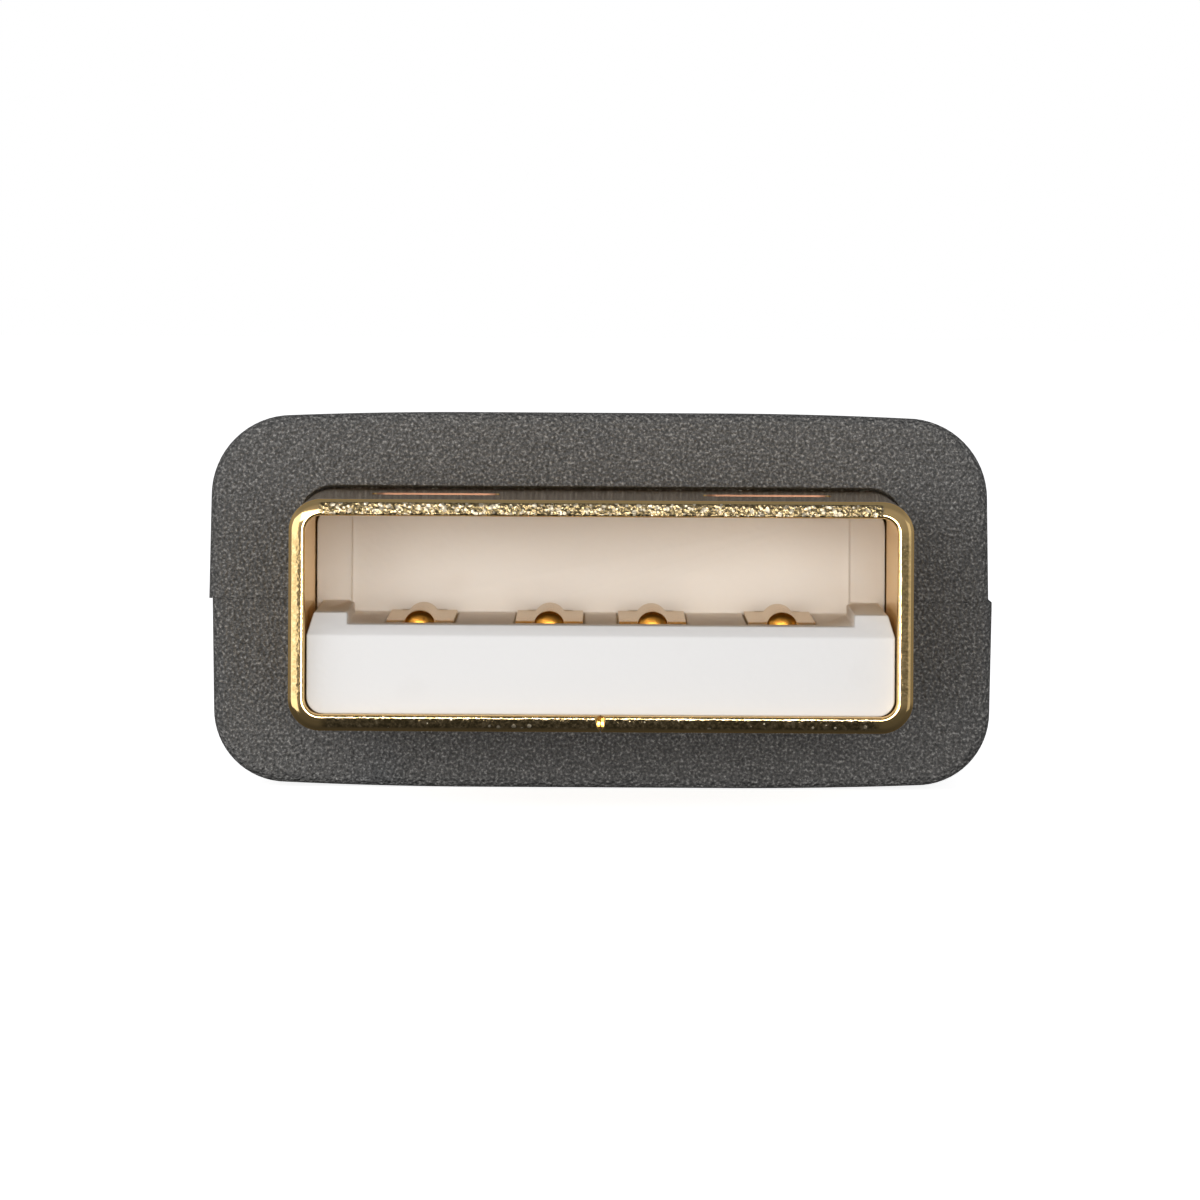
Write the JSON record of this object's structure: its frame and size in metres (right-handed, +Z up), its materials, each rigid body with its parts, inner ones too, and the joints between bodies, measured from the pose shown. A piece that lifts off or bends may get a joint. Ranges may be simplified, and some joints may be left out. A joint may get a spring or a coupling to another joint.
{
  "type": "usb-a plug",
  "caption": "Flat rectangular plug: gold-plated folded shell, white contact carrier with gold contacts, dark grained moulded grip with a bore for its cable.",
  "frame": {"origin": "centre of the shell's mouth, in the plane of its front edge", "axes": "-Y out of the mouth, +Y towards the cable, X across the width, +Z up on the side of the free space above the contacts"},
  "size_m": [0.0158, 0.034, 0.0076],
  "materials": {
    "gold_plated_shell": "bright gold plating over folded sheet, sheared edge at the mouth",
    "white_insulator": "smooth white moulded plastic",
    "gold_plated_contacts": "gold plating over stamped strip",
    "tinned_shield": "tinned sheet",
    "inner_mould": "first-shot moulding, unseen",
    "dark_grey_grip": "soft dark grey moulding with a fine spark-eroded grain"
  },
  "bodies": {
    "root": {"shell": "gold_plated_shell", "insulator": "white_insulator", "contact_1": "gold_plated_contacts", "contact_2": "gold_plated_contacts", "contact_3": "gold_plated_contacts", "contact_4": "gold_plated_contacts", "rear_shield_lower": "tinned_shield", "rear_shield_upper": "tinned_shield", "inner_mould": "inner_mould", "overmould": "dark_grey_grip"}
  },
  "joints": []
}
